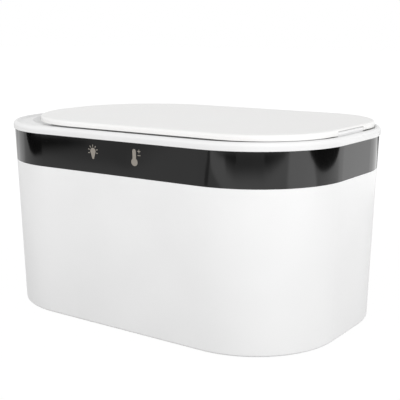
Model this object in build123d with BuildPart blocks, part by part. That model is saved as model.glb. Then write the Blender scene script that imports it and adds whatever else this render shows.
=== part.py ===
from build123d import *
import os
from math import cos, radians, sin, sqrt, tan

os.makedirs("parts", exist_ok=True)

# A warmer for a stack of baby wipes: a drafted housing, a band and a rim round its top,
# a heated tub inside, and a flat lid hinged at the right end.
# X runs along the length, the front faces -Y, and the feet stand on Z = 0. All sizes are in mm.

# Body outline, seen from above at the top edge of the band
body_length = 220.0
body_width = 144.0
corner_radius = 55.0
draft_angle = 1.64

# Heights of the stack, from the table up
foot_height = 0.6
housing_height = 89.65
band_height = 19.0
rim_height = 4.6

# Housing and the cover that closes it from below
housing_wall = 2.4
bottom_edge_radius = 1.2
shoulder_edge_radius = 0.3
seat_wall = 2.2
seat_root = 3.0
cover_thickness = 2.8
cover_inset = 4.2
cover_gap = 0.2
cover_flange_width = 8.0
cover_flange_thickness = 2.4

# Band
band_wall = 1.8
band_gap = 0.1

# Rim
rim_overhang = 0.7
rim_shoulder_radius = 2.3
rim_edge_radius = 0.3
rim_wall = 2.4
rim_gap = 0.2
lip_width = 2.4
lip_slope_width = 1.6
lip_depth = 1.05

# How far the opening for the wipes lies inside the lid, and the land that the lid's seal closes on
opening_side_inset = 10.2
opening_left_inset = 13.3
opening_right_inset = 11.7
opening_radius_step = 1.3
land_depth = 2.0
land_width = 4.0
collar_wall = 2.2
collar_depth = 10.0

# Finger scoop in the ledge at the lid's left end: a ring-shaped trough that tilts out of the ledge
scoop_depth = 5.5
scoop_radius = 15.0
scoop_ring_step = 1.0
scoop_tilt = 8.5
scoop_under_lid = 0.7

# Lid, set in from the body's outline; its left end is nearly a half circle
lid_side_inset = 6.8
lid_left_inset = 12.7
lid_right_inset = 4.3
lid_left_flat = 4.7
lid_right_radius_step = 11.7
lid_gap = 1.1
lid_thickness = 3.25
lid_edge_radius = 1.6
lid_plate = 1.8
lid_skirt = 1.8
liner_inset = 5.0
liner_clearance = 0.6
liner_wall_gap = 1.0
liner_wall = 2.0
liner_wall_depth = 6.0
seal_width = 2.3
seal_start = 0.55
seal_clearance = 0.3
seal_groove = 0.8
groove_gap = 0.05

# Hinge
knuckle_radius = 1.2
knuckle_rise = 0.65
pin_radius = 0.6
pin_clearance = 0.05
hinge_length = 38.0
rim_knuckle_length = 31.0
knuckle_gap = 0.3
knuckle_neck = 2.0

# Tub
tub_drop = 3.5
tub_gap = 0.3
tub_wall = 1.8
tub_draft = 1.5
tub_floor = 1.8
tub_corner_fillet = 8.0

# Heaters and insulation
spreader_thickness = 0.8
film_thickness = 0.4
floor_film_inset = 16.0
floor_stack_inset = 14.0
floor_foam_thickness = 5.0
floor_foam_gap = 0.7
wall_film_margin = 12.0
wall_film_height = 53.0
wall_film_gap = 0.05
sleeve_gap = 0.1
sleeve_thickness = 3.0
sleeve_height = 55.0

# Screws: shank radius, length, head radius and head height
case_screw = (1.45, 12.0, 2.8, 1.4)
tub_screw = (1.4, 6.5, 2.6, 1.6)
board_screw = (1.2, 5.0, 2.2, 1.3)
touch_screw = (0.9, 4.5, 1.8, 1.1)
pilot_clearance = 0.05
through_clearance = 0.2
pocket_clearance = 0.3

# Case screws that hold the cover, in each rounded corner
case_screw_margin = 12.0
case_screw_angle = 45.0
case_boss_radius = 3.5
case_boss_height = 13.0

# Screws that hold the rim down on shelves in the housing's corners
rim_screw_margin = 9.0
rim_screw_angle = 43.0
rim_boss_radius = 3.2
rim_boss_height = 9.0
shelf_width = 8.0
shelf_thickness = 3.0
shelf_bite = 1.0

# Screws that hang the tub under the rim
tub_screw_spread = 40.0
tub_boss_reach = 8.4
tub_boss_radius = 3.2
ear_radius = 3.8
ear_thickness = 2.4

# Feet
foot_radius = 6.0
foot_recess = 0.8
foot_clearance = 0.1
foot_edge_radius = 0.4
foot_margin = 13.8
foot_angle = 60.0

# Main circuit board, on pillars of the cover
board_length = 80.0
board_width = 50.0
board_thickness = 1.6
board_end_margin = 35.0
board_to_jack = 13.5
board_pillar_height = 4.0
board_pillar_radius = 3.0
board_hole_inset = 4.0

# Touch board behind the band's two symbols
symbol_spread = 15.0
symbol_drop = 7.2
touch_board_length = 54.0
touch_board_height = 12.0
touch_board_thickness = 1.2
touch_board_gap = 2.0
touch_boss_radius = 2.0
touch_boss_spread = 23.5
well_width = 9.0
well_height = 10.0
pad_radius = 4.0
pad_bore = 2.3
pad_gap = 0.3
lamp_radius = 1.5
lamp_height = 3.0

# Power inlet in the rear wall
jack_height = 13.5
jack_flange_radius = 6.0
jack_flange_thickness = 1.4
jack_thread_radius = 4.0
jack_length = 12.0
jack_bore_radius = 2.8
jack_bore_depth = 9.5
jack_pin_radius = 1.0
jack_recess = 0.8
jack_clearance = 0.2
jack_nut_thickness = 2.2
jack_nut_width = 11.0
jack_tab_length = 3.0
jack_tab_spread = 2.2

# Leads
lead_radius = 0.7
lead_spread = 2.0
lead_end_run = 5.0
lead_bend = 4.0
sensor_lead_radius = 0.35
sensor_lead_spread = 0.8
sensor_lead_run = 2.5
sensor_lead_bend = 1.2
ribbon_width = 8.0
ribbon_thickness = 0.6
ribbon_bend = 6.0
ribbon_drop = 2.0

# Parts that stand on the main board, placed from its left front corner
connector_length = 8.0
connector_width = 6.0
connector_height = 6.0
connector_margin = 6.0
ribbon_place = 11.0
wall_lead_place = 20.0
sensor_place = 25.0
heater_lead_place = 68.0
chip_place_x = 35.0
chip_place_y = 25.0
chip_side = 8.0
chip_height = 1.4
switch_place_x = 58.0
switch_place_y = 21.0
switch_length = 6.5
switch_width = 6.1
switch_height = 2.3
capacitor_place_x = 56.0
capacitor_place_y = 38.0
capacitor_radius = 3.15
capacitor_height = 6.5
capacitor_pitch = 9.0
package_edge = 0.3

# Sensor and fuse against the floor heater, in windows of the foam
window_reach = 12.0
window_length = 14.0
window_width = 12.0
fuse_window_length = 28.0
fuse_place = 50.0
sensor_radius = 1.5
sensor_length = 5.0
fuse_radius = 2.0
fuse_length = 11.0
fuse_leg_radius = 0.5
fuse_leg_reach = 23.0

# Levels that follow from the heights
housing_bottom = foot_height
cover_top = housing_bottom + cover_thickness
flange_top = cover_top + cover_flange_thickness
shoulder = housing_bottom + housing_height
band_top = shoulder + band_height
lip_top = band_top + rim_height
ledge = lip_top - lip_depth
land = ledge - land_depth
plate_bottom = land - rim_wall
lid_bottom = ledge + lid_gap
lid_top = lid_bottom + lid_thickness
liner_bottom = ledge + liner_clearance
liner_top = lid_top - lid_plate
tub_top = plate_bottom - tub_drop
shelf_top = plate_bottom - rim_boss_height
symbol_height = band_top - symbol_drop
board_bottom = cover_top + board_pillar_height
board_top = board_bottom + board_thickness
lead_height = board_top + connector_height / 2
foam_bottom = board_top + max(connector_height, capacitor_height) + floor_foam_gap
film_bottom = foam_bottom + floor_foam_thickness
spreader_bottom = film_bottom + film_thickness
tub_bottom = spreader_bottom + spreader_thickness
tub_floor_top = tub_bottom + tub_floor
wall_film_bottom = tub_bottom + wall_film_margin
wall_film_top = wall_film_bottom + wall_film_height
sleeve_top = wall_film_bottom + sleeve_height

# Insets from the body outline, and growths from the opening outline
seat_inner = band_wall + band_gap + seat_wall
tub_inside = collar_wall + tub_gap
tub_outside = tub_inside + tub_wall
wall_film_inside = tub_outside + wall_film_gap
wall_film_outside = wall_film_inside + film_thickness
sleeve_inside = wall_film_outside + sleeve_gap
sleeve_outside = sleeve_inside + sleeve_thickness

# Lid and opening, seen from above
lid_length = body_length - lid_left_inset - lid_right_inset
lid_width = body_width - 2 * lid_side_inset
lid_offset = (lid_left_inset - lid_right_inset) / 2
lid_left_end = lid_offset - lid_length / 2
lid_right_end = lid_offset + lid_length / 2
lid_left_radius = lid_width / 2 - lid_left_flat
lid_right_radius = corner_radius - lid_right_radius_step
opening_length = lid_length - opening_left_inset - opening_right_inset
opening_width = lid_width - 2 * opening_side_inset
opening_offset = lid_offset + (opening_left_inset - opening_right_inset) / 2
opening_radius = lid_right_radius - opening_radius_step

# Hinge line
hinge_x = lid_right_end - knuckle_radius
hinge_z = lid_bottom + knuckle_rise

upright = (Align.CENTER, Align.CENTER, Align.MIN)


def outward(level):
    """How far the drafted wall stands out at a level, against the band's top edge."""
    return (level - band_top) * tan(radians(draft_angle))


def corner_points(margin, angle):
    """The same spot in all four rounded corners, a margin inside the outline."""
    reach = corner_radius - margin
    x = body_length / 2 - corner_radius + reach * cos(radians(angle))
    y = body_width / 2 - corner_radius + reach * sin(radians(angle))
    return [(x, y), (-x, y), (-x, -y), (x, -y)]


def body_outline(level, inset):
    grow = outward(level) - inset
    with BuildSketch(Plane.XY.offset(level)) as outline:
        RectangleRounded(body_length + 2 * grow, body_width + 2 * grow, corner_radius + grow)
    return outline.sketch


def body_layer(bottom, top, inset, mode=Mode.ADD):
    """A drafted slab of the body's outline, drawn in by an inset."""
    loft([body_outline(bottom, inset), body_outline(top, inset)], ruled=True, mode=mode)


def opening_outline(level, grow):
    with BuildSketch(Plane.XY.offset(level)) as outline:
        with Locations((opening_offset, 0)):
            RectangleRounded(opening_length + 2 * grow, opening_width + 2 * grow, opening_radius + grow)
    return outline.sketch


def opening_layer(bottom, top, grow, mode=Mode.ADD):
    """A straight slab of the opening's outline, grown outwards."""
    extrude(opening_outline(bottom, grow), amount=top - bottom, mode=mode)


def tub_grow(level, grow):
    return grow - (tub_top - level) * tan(radians(tub_draft))


def tub_layer(bottom, top, grow, mode=Mode.ADD):
    """A slab that narrows downwards as the tub's wall does."""
    sections = [opening_outline(level, tub_grow(level, grow)) for level in (bottom, top)]
    loft(sections, ruled=True, mode=mode)


def lid_layer(bottom, top, inset, mode=Mode.ADD):
    """A slab of the lid's outline: a wide round at the left end, a tighter one at the hinge."""
    with BuildSketch(Plane.XY.offset(bottom)) as outline:
        with Locations((lid_offset, 0)):
            Rectangle(lid_length - 2 * inset, lid_width - 2 * inset)
        fillet(outline.vertices().group_by(Axis.X)[0], lid_left_radius - inset)
        fillet(outline.vertices().group_by(Axis.X)[-1], lid_right_radius - inset)
    extrude(outline.sketch, amount=top - bottom, mode=mode)


def posts(points, bottom, top, radius, mode=Mode.ADD):
    """Upright cylinders between two levels."""
    with Locations(*[(x, y, bottom) for x, y in points]):
        Cylinder(radius, top - bottom, align=upright, mode=mode)


def screw(shank_radius, length, head_radius, head_height):
    """A pan-head screw that points up, with the head's seat at zero and a cross recess below."""
    with BuildPart() as fastener:
        Cylinder(shank_radius, length, align=upright)
        with Locations((0, 0, -head_height)):
            Cylinder(head_radius, head_height, align=upright)
        for turn in (0, 90):
            with Locations((0, 0, -head_height)):
                Box(
                    1.3 * head_radius,
                    0.3 * head_radius,
                    head_height,
                    rotation=(0, 0, turn),
                    mode=Mode.SUBTRACT,
                )
    return fastener.part


def lead(points, bend, radius):
    """A round wire along straight runs joined by arcs."""
    with BuildPart() as wire:
        with BuildLine():
            FilletPolyline(*points, radius=bend)
        with BuildSketch(Plane(origin=points[0], z_dir=Vector(points[1]) - Vector(points[0]))):
            Circle(radius)
        sweep()
    return wire.part


def save(builder, name):
    builder.part.label = name
    export_step(builder.part, f"parts/{name}.step")


case_screw_points = corner_points(case_screw_margin, case_screw_angle)
rim_screw_points = corner_points(rim_screw_margin, rim_screw_angle)
foot_points = corner_points(foot_margin, foot_angle)
tub_boss_y = opening_width / 2 + tub_boss_reach
tub_screw_points = [
    (opening_offset + side * tub_screw_spread, end * tub_boss_y) for side in (-1, 1) for end in (-1, 1)
]
# Walls at the touch board and at the power inlet
seat_inner_y = body_width / 2 + outward(symbol_height) - seat_inner
touch_front_y = -(seat_inner_y - touch_board_gap)
touch_back_y = touch_front_y + touch_board_thickness
band_back_y = -(body_width / 2 + outward(symbol_height) - band_wall)
jack_wall_y = body_width / 2 + outward(jack_height)
jack_seat_y = jack_wall_y - jack_recess
jack_inner_y = jack_wall_y - housing_wall
jack_tab_y = jack_seat_y - jack_length - jack_tab_length

# Main board, set from the right end and from the power inlet, and what stands on it
board_left = body_length / 2 - board_end_margin - board_length
board_front = jack_tab_y - board_to_jack - board_width
board_x = board_left + board_length / 2
board_y = board_front + board_width / 2
board_screw_points = [
    (
        board_x + side * (board_length / 2 - board_hole_inset),
        board_y + end * (board_width / 2 - board_hole_inset),
    )
    for side in (-1, 1)
    for end in (-1, 1)
]
jack_x = board_x
ribbon_x = board_left + ribbon_place
wall_lead_x = board_left + wall_lead_place
sensor_x = board_left + sensor_place
heater_lead_x = board_left + heater_lead_place
fuse_x = board_left + fuse_place
front_connector_y = board_front + connector_margin
rear_connector_y = board_front + board_width - connector_margin
front_connector_face = front_connector_y - connector_width / 2
rear_connector_face = rear_connector_y + connector_width / 2
window_y = front_connector_y - window_reach

# Outer housing: drafted shell with a rounded bottom edge and a wall that carries band and rim
with BuildPart() as outer_housing:
    body_layer(housing_bottom, shoulder, 0)
    fillet(outer_housing.faces().sort_by(Axis.Z)[0].edges(), bottom_edge_radius)
    fillet(outer_housing.faces().sort_by(Axis.Z)[-1].edges(), shoulder_edge_radius)
    body_layer(shoulder, band_top, band_wall + band_gap)
    body_layer(housing_bottom, cover_top, cover_inset, Mode.SUBTRACT)
    body_layer(cover_top, flange_top, cover_inset + cover_flange_width, Mode.SUBTRACT)
    body_layer(flange_top, shoulder - seat_root, housing_wall, Mode.SUBTRACT)
    body_layer(shoulder - seat_root, band_top, seat_inner, Mode.SUBTRACT)
    # Shelves for the rim's screws, from each boss out into the wall
    for x, y in rim_screw_points:
        side = 1 if x > 0 else -1
        end = 1 if y > 0 else -1
        turn = rim_screw_angle * side * end + (180 if x < 0 else 0)
        wall_reach = rim_screw_margin + outward(shelf_top) - seat_inner + shelf_bite
        with BuildSketch(Plane((x, y, shelf_top - shelf_thickness)).rotated((0, 0, turn))):
            Circle(shelf_width / 2)
            Rectangle(
                wall_reach,
                shelf_width,
                align=(Align.MIN, Align.CENTER),
            )
        extrude(amount=shelf_thickness)
    posts(
        rim_screw_points,
        shelf_top - shelf_thickness,
        shelf_top,
        tub_screw[0] + through_clearance,
        Mode.SUBTRACT,
    )
    # Bosses for the cover's screws
    posts(case_screw_points, cover_top, cover_top + case_boss_height, case_boss_radius)
    posts(
        case_screw_points,
        cover_top,
        cover_top + case_boss_height - housing_wall / 2,
        case_screw[0] + pilot_clearance,
        Mode.SUBTRACT,
    )
    # Wells behind the symbols and bosses for the touch board
    well_y = -seat_inner_y - seat_wall / 2
    with Locations((-symbol_spread, well_y, symbol_height), (symbol_spread, well_y, symbol_height)):
        Box(well_width, 2 * seat_wall, well_height, mode=Mode.SUBTRACT)
    boss_spots = [
        Plane(origin=(side * touch_boss_spread, touch_front_y, symbol_height), z_dir=(0, -1, 0))
        for side in (-1, 1)
    ]
    with Locations(*boss_spots):
        Cylinder(touch_boss_radius, touch_board_gap + seat_wall / 2, align=upright)
        Cylinder(
            touch_screw[0] + pilot_clearance,
            touch_screw[1] - touch_board_thickness + pilot_clearance,
            align=upright,
            mode=Mode.SUBTRACT,
        )
    # Hole and spot face for the power inlet
    with Locations(Plane(origin=(jack_x, jack_seat_y, jack_height), z_dir=(0, 1, 0))):
        Cylinder(jack_thread_radius + jack_clearance, 4 * housing_wall, mode=Mode.SUBTRACT)
        Cylinder(
            jack_flange_radius + jack_clearance,
            2 * jack_recess,
            align=upright,
            mode=Mode.SUBTRACT,
        )
save(outer_housing, "outer_housing")

# Control band: a thin ring between the housing's shoulder and the rim
with BuildPart() as control_band:
    body_layer(shoulder, band_top, 0)
    body_layer(shoulder, band_top, band_wall, Mode.SUBTRACT)
save(control_band, "control_band")

# Top rim: lip, ledge, finger scoop, land for the seal, collar, bosses and hinge knuckle
scoop_ring_radius = lid_left_radius - scoop_ring_step
scoop_line_x = lid_left_end + scoop_under_lid
scoop_line_z = ledge - scoop_depth + scoop_radius
scoop_centre = (
    scoop_line_x + scoop_ring_radius * cos(radians(scoop_tilt)),
    0,
    scoop_line_z + scoop_ring_radius * sin(radians(scoop_tilt)),
)
with BuildPart() as scoop_wall:
    # The rim's wall under the scoop, kept clear of the housing
    with Locations(scoop_centre):
        Torus(scoop_ring_radius, scoop_radius + rim_wall, rotation=(0, -scoop_tilt, 0))
    split(bisect_by=Plane.XY.offset(land), keep=Keep.BOTTOM)
    scoop_wall_bottom = scoop_line_z - scoop_radius - 2 * rim_wall
    body_layer(scoop_wall_bottom, lip_top, seat_inner + rim_gap, Mode.INTERSECT)

with BuildPart() as top_rim:
    # Lip, plate and scoop wall
    body_layer(band_top, lip_top, -rim_overhang)
    fillet(top_rim.faces().sort_by(Axis.Z)[-1].edges(), rim_shoulder_radius)
    fillet(top_rim.faces().sort_by(Axis.Z)[0].edges(), rim_edge_radius)
    body_layer(plate_bottom, band_top, seat_inner + rim_gap)
    add(scoop_wall.part)
    lip_inset = lip_width - rim_overhang
    loft(
        [body_outline(ledge, lip_inset + lip_slope_width), body_outline(lip_top, lip_inset)],
        ruled=True,
        mode=Mode.SUBTRACT,
    )
    # Knuckle that stands on the ledge at the right end
    with Locations((hinge_x, 0, hinge_z)):
        Cylinder(knuckle_radius, rim_knuckle_length, rotation=(90, 0, 0))
    with Locations((hinge_x, 0, ledge)):
        Box(knuckle_neck, rim_knuckle_length, hinge_z - ledge, align=upright)
    with Locations((hinge_x, 0, hinge_z)):
        Cylinder(pin_radius + pin_clearance, hinge_length, rotation=(90, 0, 0), mode=Mode.SUBTRACT)
    # Collar round the opening, and bosses
    opening_layer(plate_bottom - collar_depth, plate_bottom, collar_wall)
    posts(tub_screw_points, tub_top, plate_bottom, tub_boss_radius)
    posts(rim_screw_points, shelf_top, plate_bottom, rim_boss_radius)
    tub_hole_top = tub_top - ear_thickness + tub_screw[1] + pilot_clearance
    posts(tub_screw_points, tub_top, tub_hole_top, tub_screw[0] + pilot_clearance, Mode.SUBTRACT)
    posts(rim_screw_points, shelf_top, plate_bottom, tub_screw[0] + pilot_clearance, Mode.SUBTRACT)
    # Opening, land and scoop
    opening_layer(plate_bottom - collar_depth, lip_top, 0, Mode.SUBTRACT)
    opening_layer(land, lip_top, land_width, Mode.SUBTRACT)
    with Locations(scoop_centre):
        Torus(scoop_ring_radius, scoop_radius, rotation=(0, -scoop_tilt, 0), mode=Mode.SUBTRACT)
save(top_rim, "top_rim")

# Lid cover: flat plate with a softened edge, a skirt, and two knuckles with a notch between them
with BuildPart() as lid_cover:
    lid_layer(lid_bottom, lid_top, 0)
    fillet(lid_cover.faces().sort_by(Axis.Z)[-1].edges(), lid_edge_radius)
    lid_layer(lid_bottom, liner_top, lid_skirt, Mode.SUBTRACT)
    knuckle_length = (hinge_length - rim_knuckle_length) / 2 - knuckle_gap
    knuckle_y = (hinge_length - knuckle_length) / 2
    with Locations((hinge_x, knuckle_y, hinge_z), (hinge_x, -knuckle_y, hinge_z)):
        Cylinder(knuckle_radius, knuckle_length, rotation=(90, 0, 0))
    notch_radius = knuckle_radius + knuckle_gap
    notch_length = rim_knuckle_length + 2 * knuckle_gap
    with Locations((hinge_x, 0, hinge_z)):
        Cylinder(notch_radius, notch_length, rotation=(90, 0, 0), mode=Mode.SUBTRACT)
        Cylinder(pin_radius + pin_clearance, hinge_length, rotation=(90, 0, 0), mode=Mode.SUBTRACT)
    with Locations((hinge_x - notch_radius, 0, hinge_z + notch_radius)):
        Box(
            4 * notch_radius,
            notch_length,
            4 * notch_radius,
            align=(Align.MIN, Align.CENTER, Align.MAX),
            mode=Mode.SUBTRACT,
        )
save(lid_cover, "lid_cover")

# Lid liner: plate inside the skirt, a wall that drops into the opening, and a groove for the seal
seal_end = seal_start + seal_width
with BuildPart() as lid_liner:
    lid_layer(liner_bottom, liner_top, liner_inset)
    opening_layer(liner_bottom - liner_wall_depth, liner_bottom, -liner_wall_gap)
    opening_layer(
        liner_bottom - liner_wall_depth,
        liner_bottom,
        -liner_wall_gap - liner_wall,
        Mode.SUBTRACT,
    )
    with BuildSketch(Plane.XY.offset(liner_bottom)):
        add(opening_outline(liner_bottom, seal_end + groove_gap))
        add(opening_outline(liner_bottom, seal_start - groove_gap), mode=Mode.SUBTRACT)
    extrude(amount=seal_groove, mode=Mode.SUBTRACT)
save(lid_liner, "lid_liner")

# Silicone seal, held in the liner's groove just over the land
with BuildPart() as lid_seal:
    opening_layer(land + seal_clearance, liner_bottom + seal_groove, seal_end)
    opening_layer(land + seal_clearance, liner_bottom + seal_groove, seal_start, Mode.SUBTRACT)
save(lid_seal, "lid_seal")

# Hinge pin
with BuildPart() as hinge_pin:
    with Locations((hinge_x, 0, hinge_z)):
        Cylinder(pin_radius, hinge_length, rotation=(90, 0, 0))
    chamfer(hinge_pin.edges().filter_by(GeomType.CIRCLE), pin_radius / 4)
save(hinge_pin, "hinge_pin")

# Inner tub: hangs by its ears under the rim, outside the collar
with BuildPart() as tub_cavity:
    tub_layer(tub_floor_top, tub_top, tub_inside)
    fillet(tub_cavity.faces().sort_by(Axis.Z)[0].edges(), tub_corner_fillet)

with BuildPart() as inner_tub:
    tub_layer(tub_bottom, tub_top, tub_outside)
    fillet(inner_tub.faces().sort_by(Axis.Z)[0].edges(), tub_corner_fillet + tub_wall)
    posts(tub_screw_points, tub_top - ear_thickness, tub_top, ear_radius)
    tongue_length = tub_boss_reach - tub_inside - tub_wall / 2
    for x, y in tub_screw_points:
        towards_tub = Align.MAX if y > 0 else Align.MIN
        with Locations((x, y, tub_top - ear_thickness)):
            Box(
                2 * ear_radius,
                tongue_length,
                ear_thickness,
                align=(Align.CENTER, towards_tub, Align.MIN),
            )
    add(tub_cavity.part, mode=Mode.SUBTRACT)
    posts(
        tub_screw_points,
        tub_top - ear_thickness,
        tub_top,
        tub_screw[0] + through_clearance,
        Mode.SUBTRACT,
    )
save(inner_tub, "inner_tub")


def floor_sheet(bottom, top, inset):
    """A flat sheet under the tub's floor."""
    opening_layer(bottom, top, tub_grow(tub_bottom, tub_outside) - inset)


# Aluminium sheet that spreads the heat, and the film heater under it
with BuildPart() as heat_spreader:
    floor_sheet(spreader_bottom, tub_bottom, floor_stack_inset)
save(heat_spreader, "heat_spreader")

with BuildPart() as floor_heating_film:
    floor_sheet(film_bottom, spreader_bottom, floor_film_inset)
save(floor_heating_film, "floor_heating_film")

# Film heater wrapped round the tub
with BuildPart() as wall_heating_film:
    tub_layer(wall_film_bottom, wall_film_top, wall_film_outside)
    tub_layer(wall_film_bottom, wall_film_top, wall_film_inside, Mode.SUBTRACT)
save(wall_heating_film, "wall_heating_film")

# Foam sleeve round the wall heater
with BuildPart() as insulation_sleeve:
    tub_layer(wall_film_bottom, sleeve_top, sleeve_outside)
    tub_layer(wall_film_bottom, sleeve_top, sleeve_inside, Mode.SUBTRACT)
save(insulation_sleeve, "insulation_sleeve")

# Foam board under the floor heater, with windows for sensor, fuse and leads
with BuildPart() as insulation_board:
    floor_sheet(foam_bottom, film_bottom, floor_stack_inset)
    with Locations(*[(x, window_y, foam_bottom) for x in (sensor_x, heater_lead_x)]):
        Box(window_length, window_width, floor_foam_thickness, align=upright, mode=Mode.SUBTRACT)
    with Locations((fuse_x, window_y, foam_bottom)):
        Box(fuse_window_length, window_width, floor_foam_thickness, align=upright, mode=Mode.SUBTRACT)
save(insulation_board, "insulation_board")

# Thermistor bead against the floor heater
sensor_z = film_bottom - sensor_radius
with BuildPart() as temperature_sensor:
    with Locations((sensor_x, window_y, sensor_z)):
        Cylinder(sensor_radius, sensor_length, rotation=(90, 0, 0))
    fillet(temperature_sensor.edges().filter_by(GeomType.CIRCLE), sensor_radius / 3)
save(temperature_sensor, "temperature_sensor")

# Thermal fuse with its two stiff legs
with BuildPart() as thermal_fuse:
    with Locations((fuse_x, window_y, film_bottom - fuse_radius)):
        Cylinder(fuse_radius, fuse_length, rotation=(0, 90, 0))
        Cylinder(fuse_leg_radius, fuse_leg_reach, rotation=(0, 90, 0))
save(thermal_fuse, "thermal_fuse")

# Cover that closes the housing from below, with pillars for the board
with BuildPart() as base_plate:
    body_layer(housing_bottom, cover_top, cover_inset + cover_gap)
    posts(board_screw_points, cover_top, board_bottom, board_pillar_radius)
    posts(
        board_screw_points,
        cover_top,
        board_bottom,
        board_screw[0] + pilot_clearance,
        Mode.SUBTRACT,
    )
    posts(
        foot_points,
        housing_bottom,
        housing_bottom + foot_recess,
        foot_radius + foot_clearance,
        Mode.SUBTRACT,
    )
    posts(
        case_screw_points,
        housing_bottom,
        housing_bottom + case_screw[3],
        case_screw[2] + pocket_clearance,
        Mode.SUBTRACT,
    )
    posts(
        case_screw_points,
        housing_bottom,
        cover_top,
        case_screw[0] + through_clearance,
        Mode.SUBTRACT,
    )
save(base_plate, "base_plate")

# Rubber feet, set in recesses of the cover
with BuildPart() as rubber_feet:
    posts(foot_points, 0, housing_bottom + foot_recess, foot_radius)
    fillet(rubber_feet.edges().group_by(Axis.Z)[0], foot_edge_radius)
save(rubber_feet, "rubber_feet")

# Screws, one node for each kind
with BuildPart() as base_screws:
    with Locations(*[(x, y, housing_bottom + case_screw[3]) for x, y in case_screw_points]):
        add(screw(*case_screw))
save(base_screws, "base_screws")

with BuildPart() as rim_screws:
    with Locations(*[(x, y, shelf_top - shelf_thickness) for x, y in rim_screw_points]):
        add(screw(*tub_screw))
save(rim_screws, "rim_screws")

with BuildPart() as tub_screws:
    with Locations(*[(x, y, tub_top - ear_thickness) for x, y in tub_screw_points]):
        add(screw(*tub_screw))
save(tub_screws, "tub_screws")

with BuildPart() as board_screws:
    with Locations(
        *[Plane(origin=(x, y, board_top), z_dir=(0, 0, -1)) for x, y in board_screw_points]
    ):
        add(screw(*board_screw))
save(board_screws, "board_screws")

touch_board_spots = [
    Plane(origin=(side * touch_boss_spread, touch_back_y, symbol_height), z_dir=(0, -1, 0))
    for side in (-1, 1)
]
with BuildPart() as touch_board_screws:
    with Locations(*touch_board_spots):
        add(screw(*touch_screw))
save(touch_board_screws, "touch_board_screws")

# Main circuit board
with BuildPart() as control_board:
    with Locations((board_x, board_y, board_bottom)):
        Box(board_length, board_width, board_thickness, align=upright)
    posts(
        board_screw_points,
        board_bottom,
        board_top,
        board_screw[0] + through_clearance,
        Mode.SUBTRACT,
    )
save(control_board, "control_board")

# What stands on the board
with BuildPart() as control_chip:
    with Locations((board_left + chip_place_x, board_front + chip_place_y, board_top)):
        Box(chip_side, chip_side, chip_height, align=upright)
    chamfer(control_chip.faces().sort_by(Axis.Z)[-1].edges(), package_edge)
save(control_chip, "control_chip")

with BuildPart() as power_switch:
    with Locations((board_left + switch_place_x, board_front + switch_place_y, board_top)):
        Box(switch_length, switch_width, switch_height, align=upright)
    chamfer(power_switch.faces().sort_by(Axis.Z)[-1].edges(), package_edge)
save(power_switch, "power_switch")

with BuildPart() as capacitors:
    first_x = board_left + capacitor_place_x
    capacitor_y = board_front + capacitor_place_y
    spots = [(first_x, capacitor_y), (first_x + capacitor_pitch, capacitor_y)]
    posts(spots, board_top, board_top + capacitor_height, capacitor_radius)
    fillet(capacitors.edges().group_by(Axis.Z)[-1], package_edge)
save(capacitors, "capacitors")

with BuildPart() as board_connectors:
    front = [(x, front_connector_y, board_top) for x in (ribbon_x, sensor_x, heater_lead_x)]
    rear = [(x, rear_connector_y, board_top) for x in (wall_lead_x, jack_x)]
    with Locations(*front, *rear):
        Box(connector_length, connector_width, connector_height, align=upright)
save(board_connectors, "board_connectors")

# Touch board, its two sensing pads and the lamps inside them
with BuildPart() as touch_board:
    with Locations((0, touch_front_y, symbol_height)):
        Box(
            touch_board_length,
            touch_board_thickness,
            touch_board_height,
            align=(Align.CENTER, Align.MIN, Align.CENTER),
        )
    with Locations(*touch_board_spots):
        Cylinder(
            touch_screw[0] + through_clearance,
            touch_board_thickness,
            align=upright,
            mode=Mode.SUBTRACT,
        )
save(touch_board, "touch_board")

symbol_spots = [
    Plane(origin=(side * symbol_spread, touch_front_y, symbol_height), z_dir=(0, -1, 0))
    for side in (-1, 1)
]
pad_length = touch_front_y - band_back_y - sin(radians(draft_angle)) * pad_radius - pad_gap
with BuildPart() as touch_pads:
    with Locations(*symbol_spots):
        Cylinder(pad_radius, pad_length, align=upright)
        Cylinder(pad_bore, pad_length, align=upright, mode=Mode.SUBTRACT)
save(touch_pads, "touch_pads")

with BuildPart() as indicator_leds:
    with Locations(*symbol_spots):
        Cylinder(lamp_radius, lamp_height, align=upright)
    fillet(indicator_leds.faces().group_by(Axis.Y)[0].edges(), lamp_radius * 0.8)
save(indicator_leds, "indicator_leds")

# Power inlet: flange in the spot face, threaded barrel, socket with its pin, two tabs
with BuildPart() as dc_jack:
    with Locations(Plane(origin=(jack_x, jack_seat_y, jack_height), z_dir=(0, 1, 0))):
        Cylinder(jack_flange_radius, jack_flange_thickness, align=upright)
        Cylinder(
            jack_thread_radius,
            jack_length,
            align=(Align.CENTER, Align.CENTER, Align.MAX),
        )
    front_y = jack_seat_y + jack_flange_thickness
    with Locations(Plane(origin=(jack_x, front_y, jack_height), z_dir=(0, -1, 0))):
        Cylinder(jack_bore_radius, jack_bore_depth, align=upright, mode=Mode.SUBTRACT)
        Cylinder(jack_pin_radius, jack_bore_depth, align=upright)
    tabs = [(jack_x + side * jack_tab_spread, jack_seat_y - jack_length, jack_height) for side in (-1, 1)]
    with Locations(*tabs):
        Box(1.6, jack_tab_length, 0.8, align=(Align.CENTER, Align.MAX, Align.CENTER))
save(dc_jack, "dc_jack")

nut_front_y = jack_inner_y - jack_nut_width / sqrt(3) * sin(radians(draft_angle))
with BuildPart() as jack_nut:
    with BuildSketch(Plane(origin=(jack_x, nut_front_y, jack_height), z_dir=(0, -1, 0))):
        RegularPolygon(jack_nut_width / 2, 6, major_radius=False)
        Circle(jack_thread_radius + pilot_clearance, mode=Mode.SUBTRACT)
    extrude(amount=jack_nut_thickness)
save(jack_nut, "jack_nut")

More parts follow.
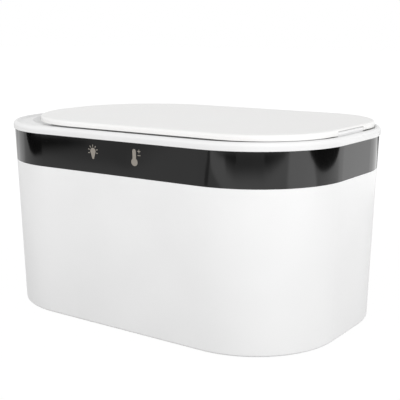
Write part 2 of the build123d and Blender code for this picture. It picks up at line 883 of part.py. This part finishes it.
# Leads held inside the housing
with BuildPart() as power_wires:
    for side in (-1, 1):
        x = jack_x + side * jack_tab_spread
        add(
            lead(
                [
                    (x, jack_tab_y, jack_height),
                    (x, jack_tab_y - lead_end_run, jack_height),
                    (x, rear_connector_face + lead_end_run, lead_height),
                    (x, rear_connector_face, lead_height),
                ],
                lead_bend,
                lead_radius,
            )
        )
save(power_wires, "power_wires")

wall_lead_y = opening_width / 2 + tub_grow(wall_film_bottom, wall_film_inside) + lead_radius
with BuildPart() as heater_wires:
    for side in (-1, 1):
        x = heater_lead_x + side * lead_spread
        add(
            lead(
                [
                    (x, window_y, film_bottom),
                    (x, window_y, lead_height),
                    (x, front_connector_face, lead_height),
                ],
                lead_bend,
                lead_radius,
            )
        )
        x = wall_lead_x + side * lead_spread
        add(
            lead(
                [
                    (x, wall_lead_y, wall_film_bottom),
                    (x, wall_lead_y, lead_height),
                    (x, rear_connector_face, lead_height),
                ],
                2 * lead_bend,
                lead_radius,
            )
        )
save(heater_wires, "heater_wires")

sensor_end_y = window_y + sensor_length / 2
with BuildPart() as sensor_wires:
    for side in (-1, 1):
        x = sensor_x + side * sensor_lead_spread
        add(
            lead(
                [
                    (x, sensor_end_y, sensor_z),
                    (x, sensor_end_y + sensor_lead_run, sensor_z),
                    (x, sensor_end_y + sensor_lead_run, lead_height),
                    (x, front_connector_face, lead_height),
                ],
                sensor_lead_bend,
                sensor_lead_radius,
            )
        )
save(sensor_wires, "sensor_wires")

ribbon_y = touch_back_y + ribbon_thickness / 2
with BuildPart() as touch_ribbon:
    with BuildSketch(Plane.YZ.offset(ribbon_x - ribbon_width / 2)):
        with BuildLine():
            FilletPolyline(
                (ribbon_y, symbol_height - ribbon_drop),
                (ribbon_y, lead_height),
                (front_connector_face, lead_height),
                radius=ribbon_bend,
            )
        trace(line_width=ribbon_thickness)
    extrude(amount=ribbon_width)
save(touch_ribbon, "touch_ribbon")
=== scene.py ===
import bpy
import bmesh
import math
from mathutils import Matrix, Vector


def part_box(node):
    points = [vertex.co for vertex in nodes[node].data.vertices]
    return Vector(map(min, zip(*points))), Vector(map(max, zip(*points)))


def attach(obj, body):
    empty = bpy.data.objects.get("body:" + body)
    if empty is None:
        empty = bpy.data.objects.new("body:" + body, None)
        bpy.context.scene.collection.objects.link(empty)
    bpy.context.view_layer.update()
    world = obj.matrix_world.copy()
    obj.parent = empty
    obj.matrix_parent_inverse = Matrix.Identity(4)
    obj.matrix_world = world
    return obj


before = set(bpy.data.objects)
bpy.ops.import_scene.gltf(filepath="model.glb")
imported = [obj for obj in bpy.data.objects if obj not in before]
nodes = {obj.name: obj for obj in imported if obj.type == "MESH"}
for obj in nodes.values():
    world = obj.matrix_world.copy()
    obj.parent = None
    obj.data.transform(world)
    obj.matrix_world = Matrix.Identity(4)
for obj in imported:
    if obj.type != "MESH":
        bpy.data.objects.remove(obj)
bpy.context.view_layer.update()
mm = 0.001
print("stage: frame loaded,", len(nodes), "nodes")


# Helpers for colours, nodes and objects

white = (1, 1, 1, 1)


def linear(hexColour):
    # sRGB hex to the linear values that a shader socket takes
    out = []
    for start in (1, 3, 5):
        value = int(hexColour[start:start + 2], 16) / 255
        out.append(value / 12.92 if value <= 0.04045 else ((value + 0.055) / 1.055) ** 2.4)
    return (*out, 1.0)


def addNode(tree, kind, settings=None, links=None):
    # one node, with its settings and what is plugged into it; "ramp" holds a colour ramp's two ends
    node = tree.nodes.new(kind)
    for key, value in (settings or {}).items():
        if key == "ramp":
            for end, (position, hexColour) in zip(node.color_ramp.elements, value):
                end.position = position
                end.color = linear(hexColour)
        elif isinstance(key, int) or key in node.inputs.keys():
            node.inputs[key].default_value = value
        else:
            setattr(node, key, value)
    for key, source in (links or {}).items():
        tree.links.new(source, node.inputs[key])
    return node


def emptyMaterial(name):
    # a material with nothing in it yet
    material = bpy.data.materials.new(name)
    material.use_nodes = True
    material.node_tree.nodes.clear()
    return material, material.node_tree


def addObject(name, data):
    # an object that stands in the scene
    piece = bpy.data.objects.new(name, data)
    bpy.context.scene.collection.objects.link(piece)
    return piece


# Materials, each named for the real one and how its surface was made. Colour and dullness wander
# between their two ends in patches: "drift" is the size of those in mm and their detail. Each
# relief has the size of its lumps in mm, their detail, its strength and its depth in mm. A mould's
# or a skin's own grain, of about 0.1 mm, is too fine to show, so each is drawn as coarse as shows.

skins = {
    # injection-moulded ABS: bright white, low gloss from a polished and lightly spark-eroded mould,
    # with the slight waviness of a large moulded wall in its highlights
    "mouldedHousingAbs": {
        "dark": "#E8E8E8", "light": "#EBEBEB", "roughness": (0.28, 0.36), "shader": {"IOR": 1.52},
        "drift": (38, 1.0), "reliefs": [(38, 1.0, 0.5, 0.02), (0.35, 2.0, 0.5, 0.004)]},
    # the same ABS on the bezel, coloured a shade greyer than the housing: painted shade, so that its
    # ledge keeps some shading in the light instead of burning out
    "rimAbsWithPaintedShade": {
        "dark": "#E2E2E2", "light": "#E6E6E6", "roughness": (0.28, 0.36), "shader": {"IOR": 1.52},
        "drift": (38, 1.0), "reliefs": [(38, 1.0, 0.5, 0.02), (0.35, 2.0, 0.5, 0.004)]},
    # ABS from a spark-eroded mould: a satin top, a little duller and a trace warmer
    "satinLidAbs": {
        "dark": "#E8E7E6", "light": "#EAEAE9", "roughness": (0.30, 0.38), "shader": {"IOR": 1.52},
        "drift": (60, 1.0), "reliefs": [(60, 1.0, 0.5, 0.015), (0.45, 2.0, 0.5, 0.006)]},
    # injection-moulded polypropylene: a duller, cooler white with a waxy sheen
    "mouldedPolypropylene": {
        "dark": "#DCDDDD", "light": "#E4E5E4", "roughness": (0.42, 0.55), "shader": {"IOR": 1.52},
        "drift": (30, 1.0), "reliefs": [(30, 1.0, 0.5, 0.03), (0.6, 2.0, 0.5, 0.012)]},
    # polished black acrylic: a mirror-like skin over black, with faint wipe marks that soften it
    "polishedBlackAcrylic": {
        "dark": "#050505", "light": "#080808", "roughness": (0.055, 0.08), "shader": {"IOR": 1.49},
        "drift": (26, 3.0), "reliefs": [(55, 0.0, 0.5, 0.012)]},
}

# What the skins of the small and inner pieces share, by kind of material. Their one grain carries
# the drift and the relief.
soft = {"shader": {"IOR": 1.45}, "detail": 3.0, "strength": 0.6, "depthMm": 0.05}
metal = {"shader": {"Metallic": 1.0}, "detail": 4.0, "strength": 0.3, "depthMm": 0.01}
plastic = {"shader": {"IOR": 1.5}, "detail": 2.0, "strength": 0.3, "depthMm": 0.008}

smallSkins = {
    # moulded silicone: milky and dull, with a cool tinge
    "mouldedSilicone": (soft, {
        "dark": "#C9CCD0", "light": "#D4D6DA", "roughness": (0.45, 0.6), "grainMm": 0.8}),
    # moulded rubber: dark grey and matt, so the feet read as a shadow
    "mouldedRubber": (soft, {
        "dark": "#202022", "light": "#2C2C2E", "roughness": (0.6, 0.75), "grainMm": 0.5}),
    # carbon-filled rubber, moulded: nearly black and dry
    "mouldedConductiveRubber": (soft, {
        "dark": "#262628", "light": "#343436", "roughness": (0.7, 0.85), "grainMm": 0.6}),
    # closed-cell foam, sliced from a block: dark grey with the dry grain of the cut cells
    "slicedFoam": (soft, {
        "dark": "#303134", "light": "#45464A", "roughness": (0.85, 0.95), "grainMm": 1.4}),
    # zinc-plated steel: a cold grey gleam, finely mottled
    "zincPlatedSteel": (metal, {
        "dark": "#9FA1A4", "light": "#B9BABC", "roughness": (0.25, 0.4), "grainMm": 0.7}),
    # rolled aluminium: paler than the steel and blurrier in its reflections
    "rolledAluminium": (metal, {
        "dark": "#B9BBBE", "light": "#CDCFD1", "roughness": (0.3, 0.45), "grainMm": 1.5}),
    # moulded resin: black with a soft, grey sheen
    "mouldedBlackResin": (plastic, {
        "dark": "#0E0E0F", "light": "#161617", "roughness": (0.35, 0.5), "grainMm": 0.6}),
    # lacquered glass-epoxy laminate: deep green with a soft gloss
    "lacqueredGlassEpoxy": (plastic, {
        "dark": "#0F5A34", "light": "#14693E", "roughness": (0.3, 0.42), "grainMm": 1.2}),
    # moulded nylon without dye: bone-coloured
    "mouldedNaturalNylon": (plastic, {
        "dark": "#DDD6C2", "light": "#E6E0CF", "roughness": (0.4, 0.5), "grainMm": 0.9}),
    # cast polyimide film: amber and rather glossy
    "castPolyimideFilm": (plastic, {
        "dark": "#B8682A", "light": "#C97A34", "roughness": (0.2, 0.32), "grainMm": 2.5}),
    # cast resin with a diffusing filler: warm and cloudy
    "castDiffusingResin": (plastic, {
        "dark": "#F1E6BE", "light": "#F7EFD2", "roughness": (0.3, 0.4), "grainMm": 0.6}),
    # extruded PVC insulation: smooth and plain red, with a soft gloss
    "extrudedRedPvc": (plastic, {
        "dark": "#8E1414", "light": "#A01A18", "roughness": (0.35, 0.45), "grainMm": 0.8}),
    # the same in plain white
    "extrudedWhitePvc": (plastic, {
        "dark": "#DADADA", "light": "#E4E4E4", "roughness": (0.35, 0.45), "grainMm": 0.8}),
    # screen-printed ink: a warm grey that stands out from the black
    "screenPrintedInk": (plastic, {
        "dark": "#857F77", "light": "#928C83", "roughness": (0.45, 0.55), "grainMm": 0.3}),
}
for name, (kind, look) in smallSkins.items():
    drift = (look["grainMm"], kind["detail"])
    relief = (*drift, kind["strength"], kind["depthMm"])
    skins[name] = {**look, "shader": kind["shader"], "drift": drift, "reliefs": [relief]}

# where in the noise's range the two ends of each lie, because it seldom leaves the middle
noiseSpan = {"colour": (0.3, 0.7), "dullness": (0.25, 0.75)}


def skinMaterial(name, look):
    # one noise for each size of patch or lump; each relief lies over the one before it
    material, tree = emptyMaterial(name)
    place = addNode(tree, "ShaderNodeTexCoord").outputs["Object"]
    noise = {}
    for sizeMm, detail, *_ in [look["drift"], *look["reliefs"]]:
        if (sizeMm, detail) not in noise:
            settings = {"Scale": 1000 / sizeMm, "Detail": detail}
            lumps = addNode(tree, "ShaderNodeTexNoise", settings, {"Vector": place})
            noise[sizeMm, detail] = lumps.outputs["Fac"]
    patches = noise[look["drift"]]
    ramp = list(zip(noiseSpan["colour"], (look["dark"], look["light"])))
    colour = addNode(tree, "ShaderNodeValToRGB", {"ramp": ramp}, {"Fac": patches})
    low, high = noiseSpan["dullness"]
    smooth, rough = look["roughness"]
    settings = {"From Min": low, "From Max": high, "To Min": smooth, "To Max": rough}
    dullness = addNode(tree, "ShaderNodeMapRange", settings, {"Value": patches})
    under = {}
    for sizeMm, detail, strength, depthMm in look["reliefs"]:
        settings = {"Strength": strength, "Distance": depthMm * mm}
        links = {"Height": noise[sizeMm, detail], **under}
        bump = addNode(tree, "ShaderNodeBump", settings, links)
        under = {"Normal": bump.outputs["Normal"]}
    links = {"Base Color": colour.outputs["Color"], "Roughness": dullness.outputs["Result"], **under}
    shader = addNode(tree, "ShaderNodeBsdfPrincipled", look["shader"], links)
    addNode(tree, "ShaderNodeOutputMaterial", None, {"Surface": shader.outputs["BSDF"]})
    return material


materials = {name: skinMaterial(name, look) for name, look in skins.items()}

finishes = {
    "mouldedHousingAbs": ["outer_housing"],
    # the bezel gets the greyer copy of the housing ABS, which carries painted shade
    "rimAbsWithPaintedShade": ["top_rim"],
    "satinLidAbs": ["lid_cover"],
    "mouldedPolypropylene": ["lid_liner", "inner_tub", "base_plate"],
    "polishedBlackAcrylic": ["control_band"],
    "mouldedSilicone": ["lid_seal"],
    "mouldedRubber": ["rubber_feet"],
    "mouldedConductiveRubber": ["touch_pads"],
    "slicedFoam": ["insulation_board", "insulation_sleeve"],
    "zincPlatedSteel": ["hinge_pin", "base_screws", "rim_screws", "tub_screws", "board_screws",
                        "touch_board_screws", "thermal_fuse", "jack_nut"],
    "rolledAluminium": ["heat_spreader", "capacitors"],
    "castPolyimideFilm": ["floor_heating_film", "wall_heating_film"],
    "mouldedBlackResin": ["temperature_sensor", "control_chip", "power_switch", "dc_jack"],
    "lacqueredGlassEpoxy": ["control_board", "touch_board"],
    "mouldedNaturalNylon": ["board_connectors"],
    "castDiffusingResin": ["indicator_leds"],
    "extrudedRedPvc": ["power_wires"],
    "extrudedWhitePvc": ["heater_wires", "sensor_wires", "touch_ribbon"],
}
for finish, members in finishes.items():
    for member in members:
        mesh = nodes[member].data
        mesh.materials.clear()
        mesh.materials.append(materials[finish])
print("stage: materials made,", len(materials))


# The two symbols printed on the band, in mm. Heights are from the band's top edge, so they are
# negative.

bandLow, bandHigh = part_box("control_band")
band = {"topZ": bandHigh.z / mm, "frontY": bandLow.y / mm, "draftDegrees": 1.64}
ink = {"thickMm": 0.05, "sunkMm": 0.02, "endSteps": 6}


def onBand(x, z, outMm):
    # a point on the band's leaning front, so far out from its surface
    y = band["frontY"] - z * math.tan(math.radians(band["draftDegrees"])) - outMm
    return Vector((x, y, band["topZ"] + z)) * mm


def printShapes(name, outlines):
    # thin closed prints, one for each outline
    mesh = bpy.data.meshes.new(name)
    build = bmesh.new()
    for outline in outlines:
        back = [build.verts.new(onBand(x, z, -ink["sunkMm"])) for x, z in outline]
        front = [build.verts.new(onBand(x, z, ink["thickMm"] - ink["sunkMm"])) for x, z in outline]
        build.faces.new(front)
        build.faces.new(list(reversed(back)))
        count = len(outline)
        for i in range(count):
            j = (i + 1) % count
            build.faces.new((back[i], back[j], front[j], front[i]))
    bmesh.ops.recalc_face_normals(build, faces=build.faces)
    build.to_mesh(mesh)
    build.free()
    mesh.materials.append(materials["screenPrintedInk"])
    piece = addObject(name, mesh)
    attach(piece, "root")


def polar(x, z, radius, degrees):
    # the point at that distance and angle from x, z
    turn = math.radians(degrees)
    return x + radius * math.cos(turn), z + radius * math.sin(turn)


def arcPoints(x, z, radius, start, end, steps):
    # points along an arc, in degrees
    return [polar(x, z, radius, start + (end - start) * i / steps) for i in range(steps + 1)]


def stroke(start, end, width):
    # a straight stroke with round ends
    angle = math.degrees(math.atan2(end[1] - start[1], end[0] - start[0]))
    return (arcPoints(*end, width / 2, angle - 90, angle + 90, ink["endSteps"])
            + arcPoints(*start, width / 2, angle + 90, angle + 270, ink["endSteps"]))


def bar(x, z, reach, half):
    # a minus sign that reaches so far from its middle, and half its width
    return [(x - reach, z - half), (x + reach, z - half),
            (x + reach, z + half), (x - reach, z + half)]


def cross(x, z, reach, half):
    # a plus sign that reaches so far from its middle, and half its arms' width
    corners = [(reach, -half), (reach, half), (half, half), (half, reach),
               (-half, reach), (-half, half), (-reach, half), (-reach, -half),
               (-half, -half), (-half, -reach), (half, -reach), (half, -half)]
    return [(x + across, z + up) for across, up in corners]


bulb = {"x": -15.3, "z": -6.85, "radius": 1.95, "glassFrom": -35, "glassTo": 215, "glassSteps": 24,
        "tipRadius": 0.8, "tipZ": -10.45, "tipSteps": 8,
        "rayIn": 2.7, "rayOut": 3.45, "rayWidth": 0.5, "rays": (-18, 18, 54, 90, 126, 162, 198)}


def printLightSymbol():
    # a light bulb with rays
    x, z = bulb["x"], bulb["z"]
    glass = arcPoints(x, z, bulb["radius"], bulb["glassFrom"], bulb["glassTo"], bulb["glassSteps"])
    tip = arcPoints(x, bulb["tipZ"], bulb["tipRadius"], 180, 360, bulb["tipSteps"])
    outlines = [glass + tip]
    for turn in bulb["rays"]:
        inner = polar(x, z, bulb["rayIn"], turn)
        outer = polar(x, z, bulb["rayOut"], turn)
        outlines.append(stroke(inner, outer, bulb["rayWidth"]))
    printShapes("light_symbol", outlines)


gauge = {"x": 14.1, "bulbZ": -10.35, "bulbRadius": 2.15, "bulbSteps": 26,
         "stemRadius": 1.2, "stemTopZ": -3.25, "domeSteps": 12,
         "signX": 17.4, "plusZ": -4.35, "minusZ": -6.55, "signReach": 1.0, "signWidth": 0.4}


def printTemperatureSymbol():
    # a thermometer with a plus and a minus beside it
    x, stem = gauge["x"], gauge["stemRadius"]
    meet = math.degrees(math.acos(stem / gauge["bulbRadius"]))  # where the stem leaves the bulb
    flask = arcPoints(x, gauge["bulbZ"], gauge["bulbRadius"], 180 - meet, 360 + meet,
                      gauge["bulbSteps"])
    dome = arcPoints(x, gauge["stemTopZ"] - stem, stem, 0, 180, gauge["domeSteps"])
    half = gauge["signWidth"] / 2
    plus = cross(gauge["signX"], gauge["plusZ"], gauge["signReach"], half)
    minus = bar(gauge["signX"], gauge["minusZ"], gauge["signReach"], half)
    printShapes("temperature_symbol", [flask + dome, plus, minus])


printLightSymbol()
printTemperatureSymbol()
print("stage: symbols printed")


# The floor

# the near tone is painted shade round the object; it fades out between nearMm and farMm into the far
# tone
paper = {"near": "#888888", "far": "#CCCCCC", "nearMm": 210, "farMm": 330, "sizeMm": 12000,
         "glowShare": 0.88, "glow": 1.11, "glowInMirror": 0.78}  # a glow of 1 is white


def paleFloorWithPaintedShade():
    # matt pale paper, coloured darker round the object: painted shade that stands in for the object's
    # shadow on the floor and throws less light back onto its lower walls. It glows for the camera, so
    # that it shows nearly white and still keeps the shadow, and it glows less in reflections.
    material, tree = emptyMaterial("paleFloorWithPaintedShade")
    place = addNode(tree, "ShaderNodeTexCoord").outputs["Object"]
    reach = addNode(tree, "ShaderNodeVectorMath", {"operation": "LENGTH"}, {0: place})
    settings = {"From Min": paper["nearMm"] * mm, "From Max": paper["farMm"] * mm}
    away = addNode(tree, "ShaderNodeMapRange", settings, {"Value": reach.outputs["Value"]})
    ramp = [(0, paper["near"]), (1, paper["far"])]
    tone = addNode(tree, "ShaderNodeValToRGB", {"ramp": ramp}, {"Fac": away.outputs["Result"]})
    matt = addNode(tree, "ShaderNodeBsdfDiffuse", None, {"Color": tone.outputs["Color"]})
    path = addNode(tree, "ShaderNodeLightPath")
    glow, mirrored = (addNode(tree, "ShaderNodeEmission", {"Color": white, "Strength": paper[use]})
                      for use in ("glow", "glowInMirror"))
    share = addNode(tree, "ShaderNodeMath", {"operation": "MULTIPLY", 1: paper["glowShare"]},
                    {0: path.outputs["Is Camera Ray"]})
    seen = addNode(tree, "ShaderNodeMixShader", None,
                   {0: share.outputs[0], 1: matt.outputs[0], 2: glow.outputs[0]})
    both = addNode(tree, "ShaderNodeMixShader", None,
                   {0: path.outputs["Is Glossy Ray"], 1: seen.outputs[0], 2: mirrored.outputs[0]})
    addNode(tree, "ShaderNodeOutputMaterial", None, {"Surface": both.outputs[0]})
    material.cycles.emission_sampling = "NONE"
    return material


def layFloor():
    # one flat sheet under the object
    half = paper["sizeMm"] * mm / 2
    mesh = bpy.data.meshes.new("floor")
    corners = [(-half, -half, 0), (half, -half, 0), (half, half, 0), (-half, half, 0)]
    mesh.from_pydata(corners, [], [(0, 1, 2, 3)])
    mesh.materials.append(paleFloorWithPaintedShade())
    piece = addObject("floor", mesh)


layFloor()


# Boards and black flags that lie on the floor round the object. Only mirror reflections show
# them, so the band has a studio to reflect and the floor stays clean. Each has its strength
# against the white of the background, and its corners: x and y in mm, and over how many mm the
# edge fades there. A later one covers what it crosses of an earlier one.

boardStepMm = 0.2  # how far each one lies above the one before
boards = {
    "leftBoard": {"strength": 1.12, "corners": [
        (-930, 160, 60), (-580, 160, 60), (-560, -60, 60), (-600, -110, 60), (-690, -135, 60),
        (-780, -150, 60), (-880, -160, 60)]},
    "leftDim": {"strength": 0.5, "corners": [
        (-560, -600, 60), (-440, -440, 60), (-360, -425, 70), (-280, -410, 70), (-310, -470, 70),
        (-360, -600, 70)]},
    "frontBoard": {"strength": 1.42, "corners": [
        (-120, -640, 10), (-94, -544, 10), (-78, -513, 12), (-40, -484, 16), (36, -434, 20),
        (80, -400, 20), (170, -385, 20), (270, -335, 20), (370, -260, 20), (440, -170, 30),
        (640, -200, 30), (600, -350, 20), (480, -480, 20), (300, -580, 20), (100, -650, 20)]},
    "endBoard": {"strength": 1.5, "corners": [
        (560, 480, 12), (384, 318, 12), (300, 330, 12), (100, 420, 12), (30, 480, 12),
        (10, 680, 12), (130, 950, 12), (400, 950, 12), (700, 700, 12)]},
    "backFlag": {"strength": 0.1, "corners": [
        (-10, 480, 12), (-400, 480, 12), (-400, 950, 12), (90, 950, 12), (-10, 680, 12)]},
    "cornerLow": {"strength": 1.3, "corners": [
        (560, 60, 40), (470, 80, 40), (420, 150, 40), (380, 290, 40), (340, 330, 40),
        (440, 440, 12), (540, 330, 40), (580, 200, 40)]},
    "cornerBoard": {"strength": 2.2, "corners": [
        (680, -240, 40), (445, -180, 40), (410, -120, 40), (420, 50, 40), (480, 90, 40),
        (580, 80, 40), (720, 60, 40), (740, -80, 40)]},
    "frontDim": {"strength": 0.4, "corners": [
        (30, -660, 40), (60, -560, 40), (110, -500, 90), (172, -470, 110), (244, -445, 110),
        (309, -412, 110), (362, -372, 110), (420, -340, 80), (490, -300, 60), (560, -255, 40),
        (640, -260, 40), (600, -380, 40), (460, -520, 40), (260, -640, 40)]},
    "frontFlagLeft": {"strength": 0.12, "corners": [
        (-60, -650, 12), (-58, -600, 12), (4, -582, 14), (70, -569, 14), (144, -537, 12),
        (172, -527, 6), (192, -620, 6), (198, -660, 12)]},
    "frontFlagRight": {"strength": 0.12, "corners": [
        (490, -500, 12), (454, -453, 6), (412, -400, 6), (437, -372, 12), (495, -333, 14),
        (560, -275, 12), (640, -215, 12), (640, -320, 12)]},
    "farStrip": {"strength": 0.85, "corners": [
        (-70, -597, 12), (98, -598, 12), (205, -579, 12), (304, -541, 12), (395, -488, 12),
        (476, -419, 12), (545, -335, 12), (590, -255, 12), (650, -280, 12), (560, -470, 12),
        (400, -600, 12), (200, -690, 12), (-70, -700, 12)]},
    "streakFlag": {"strength": 0.3, "corners": [
        (-160, -640, 8), (-124, -640, 8), (-98, -545, 8), (-78, -410, 8), (-108, -400, 10),
        (-126, -480, 10), (-124, -535, 10)]},
    "wedgeFlag": {"strength": 0.02, "corners": [
        (-860, -260, 8), (-775, -232, 8), (-713, -236, 8), (-599, -262, 10), (-524, -312, 14),
        (-476, -372, 30), (-443, -448, 100), (-427, -475, 100), (-438, -521, 16),
        (-530, -524, 12), (-645, -442, 10), (-760, -380, 8), (-880, -360, 8)]},
    "cornerFlag": {"strength": 0.05, "corners": [
        (760, -30, 10), (685, 4, 10), (647, 25, 10), (620, 40, 10), (572, 92, 12),
        (546, 112, 10), (522, 148, 6), (499, 210, 6), (474, 311, 8), (464, 372, 10),
        (464, 415, 10), (474, 490, 24), (500, 540, 24), (640, 620, 6), (900, 300, 10)]},
}


def boardMaterial(name, strength):
    # a board that glows in mirror reflections alone, and fades out with its "cover" at the edge
    material, tree = emptyMaterial(name)
    clear = addNode(tree, "ShaderNodeBsdfTransparent")
    glow = addNode(tree, "ShaderNodeEmission", {"Color": white, "Strength": strength})
    edge = addNode(tree, "ShaderNodeAttribute", {"attribute_name": "cover"})
    path = addNode(tree, "ShaderNodeLightPath")
    smooth = addNode(tree, "ShaderNodeMapRange", {"interpolation_type": "SMOOTHSTEP"},
                     {"Value": edge.outputs["Fac"]})
    share = addNode(tree, "ShaderNodeMath", {"operation": "MULTIPLY"},
                    {0: smooth.outputs["Result"], 1: path.outputs["Is Glossy Ray"]})
    mix = addNode(tree, "ShaderNodeMixShader", None,
                  {0: share.outputs[0], 1: clear.outputs[0], 2: glow.outputs[0]})
    addNode(tree, "ShaderNodeOutputMaterial", None, {"Surface": mix.outputs[0]})
    material.cycles.emission_sampling = "NONE"
    return material


def softBoard(name, board, height):
    # a flat board: each corner moved in and out by half its soft edge
    corners = [Vector(corner[:2]) for corner in board["corners"]]
    count = len(corners)
    turn = sum(corners[i].cross(corners[(i + 1) % count]) for i in range(count))
    side = 1 if turn > 0 else -1
    inner, outer = [], []
    for i in range(count):
        before = (corners[i] - corners[i - 1]).normalized()
        after = (corners[(i + 1) % count] - corners[i]).normalized()
        out = (Vector((before.y, -before.x)) + Vector((after.y, -after.x))).normalized() * side
        reach = board["corners"][i][2] / 2
        inner.append(corners[i] - out * reach)
        outer.append(corners[i] + out * reach)
    points = [(point.x * mm, point.y * mm, height) for point in inner + outer]
    ring = [(i, (i + 1) % count, count + (i + 1) % count, count + i) for i in range(count)]
    mesh = bpy.data.meshes.new(name)
    mesh.from_pydata(points, [], [tuple(range(count))] + ring)
    cover = mesh.attributes.new("cover", "FLOAT", "POINT")
    for i in range(2 * count):
        cover.data[i].value = 1.0 if i < count else 0.0
    mesh.materials.append(boardMaterial(name, board["strength"]))
    piece = addObject(name, mesh)
    piece.visible_camera = False
    piece.visible_diffuse = False
    piece.visible_shadow = False


for level, (name, board) in enumerate(boards.items()):
    softBoard(name, board, (level + 1) * boardStepMm * mm)
print("stage: floor and boards laid,", len(boards), "boards")


# The background and the lights

backdrop = {"lighting": 0.75, "shown": 1.0}  # 1 is white


def hangBackdrop():
    # white wherever it is seen or mirrored, and a softer light on everything from all round
    world = bpy.data.worlds.new("studio")
    bpy.context.scene.world = world
    world.use_nodes = True
    tree = world.node_tree
    tree.nodes.clear()
    path = addNode(tree, "ShaderNodeLightPath")
    seen = addNode(tree, "ShaderNodeMath", {"operation": "MAXIMUM"},
                   {0: path.outputs["Is Camera Ray"], 1: path.outputs["Is Glossy Ray"]})
    seenAll = addNode(tree, "ShaderNodeMath", {"operation": "MAXIMUM"},
                      {0: seen.outputs[0], 1: path.outputs["Is Transmission Ray"]})
    lighting, shown = (
        addNode(tree, "ShaderNodeBackground", {"Color": white, "Strength": backdrop[use]})
        for use in ("lighting", "shown"))
    mix = addNode(tree, "ShaderNodeMixShader", None,
                  {0: seenAll.outputs[0], 1: lighting.outputs[0], 2: shown.outputs[0]})
    addNode(tree, "ShaderNodeOutputWorld", None, {"Surface": mix.outputs[0]})


# Angles are in degrees: azimuth 0 is straight before the front, and 90 is off the hinge's end.
# Sizes are in metres.
lamps = {
    "keySoftbox": {"azimuth": 40, "elevation": 7, "size": 0.42, "watts": 4.9},
    "endSoftbox": {"azimuth": 100, "elevation": 9, "size": 0.5, "watts": 5.0},
    "fillSoftbox": {"azimuth": -20, "elevation": 20, "size": 0.6, "watts": 4.0},
    "rearSoftbox": {"azimuth": 222, "elevation": 14, "size": 0.6, "watts": 2.6},
}
lampAim = {"height": 0.06, "distance": 1.3}  # in metres


def hangLamp(name, lamp):
    # a square softbox that looks at the middle of the object
    light = bpy.data.lights.new(name, "AREA")
    light.shape = "SQUARE"
    light.size = lamp["size"]
    light.energy = lamp["watts"]
    holder = addObject(name, light)
    azimuth = math.radians(lamp["azimuth"])
    elevation = math.radians(lamp["elevation"])
    flat = math.cos(elevation)
    away = Vector((math.sin(azimuth) * flat, -math.cos(azimuth) * flat, math.sin(elevation)))
    holder.location = Vector((0, 0, lampAim["height"])) + away * lampAim["distance"]
    # seen from behind, a softbox mirrored in the white lid would burn it out
    holder.visible_glossy = False
    holder.rotation_mode = "QUATERNION"
    holder.rotation_quaternion = away.to_track_quat("Z", "Y")


hangBackdrop()
for name, lamp in lamps.items():
    hangLamp(name, lamp)
print("stage: background and lamps hung,", len(lamps), "lamps")


# The camera, where the photograph was taken from: places in metres, lens and sensor in mm

shot = {"place": (0.29626, -0.41378, 0.16815), "target": (0.00698, 0.0, 0.06521), "lens": 75.40,
        "sensorWidth": 36.0, "shiftX": -0.00125, "shiftY": 0.00125, "nearest": 0.01, "farthest": 50.0}


def placeCamera():
    # a long lens, a little above the lid, that looks down on it
    data = bpy.data.cameras.new("camera")
    data.sensor_width = shot["sensorWidth"]
    data.lens = shot["lens"]
    data.shift_x = shot["shiftX"]
    data.shift_y = shot["shiftY"]
    data.clip_start = shot["nearest"]
    data.clip_end = shot["farthest"]
    camera = addObject("camera", data)
    camera.location = shot["place"]
    camera.rotation_mode = "QUATERNION"
    camera.rotation_quaternion = (Vector(shot["target"]) - camera.location).to_track_quat("-Z", "Y")
    bpy.context.scene.camera = camera


placeCamera()
bpy.context.scene.view_settings.view_transform = "Standard"
# light has to bounce often between white walls before it reaches into the narrow gaps
bpy.context.scene.cycles.max_bounces = 16
bpy.context.scene.cycles.diffuse_bounces = 10
print("stage: camera placed")
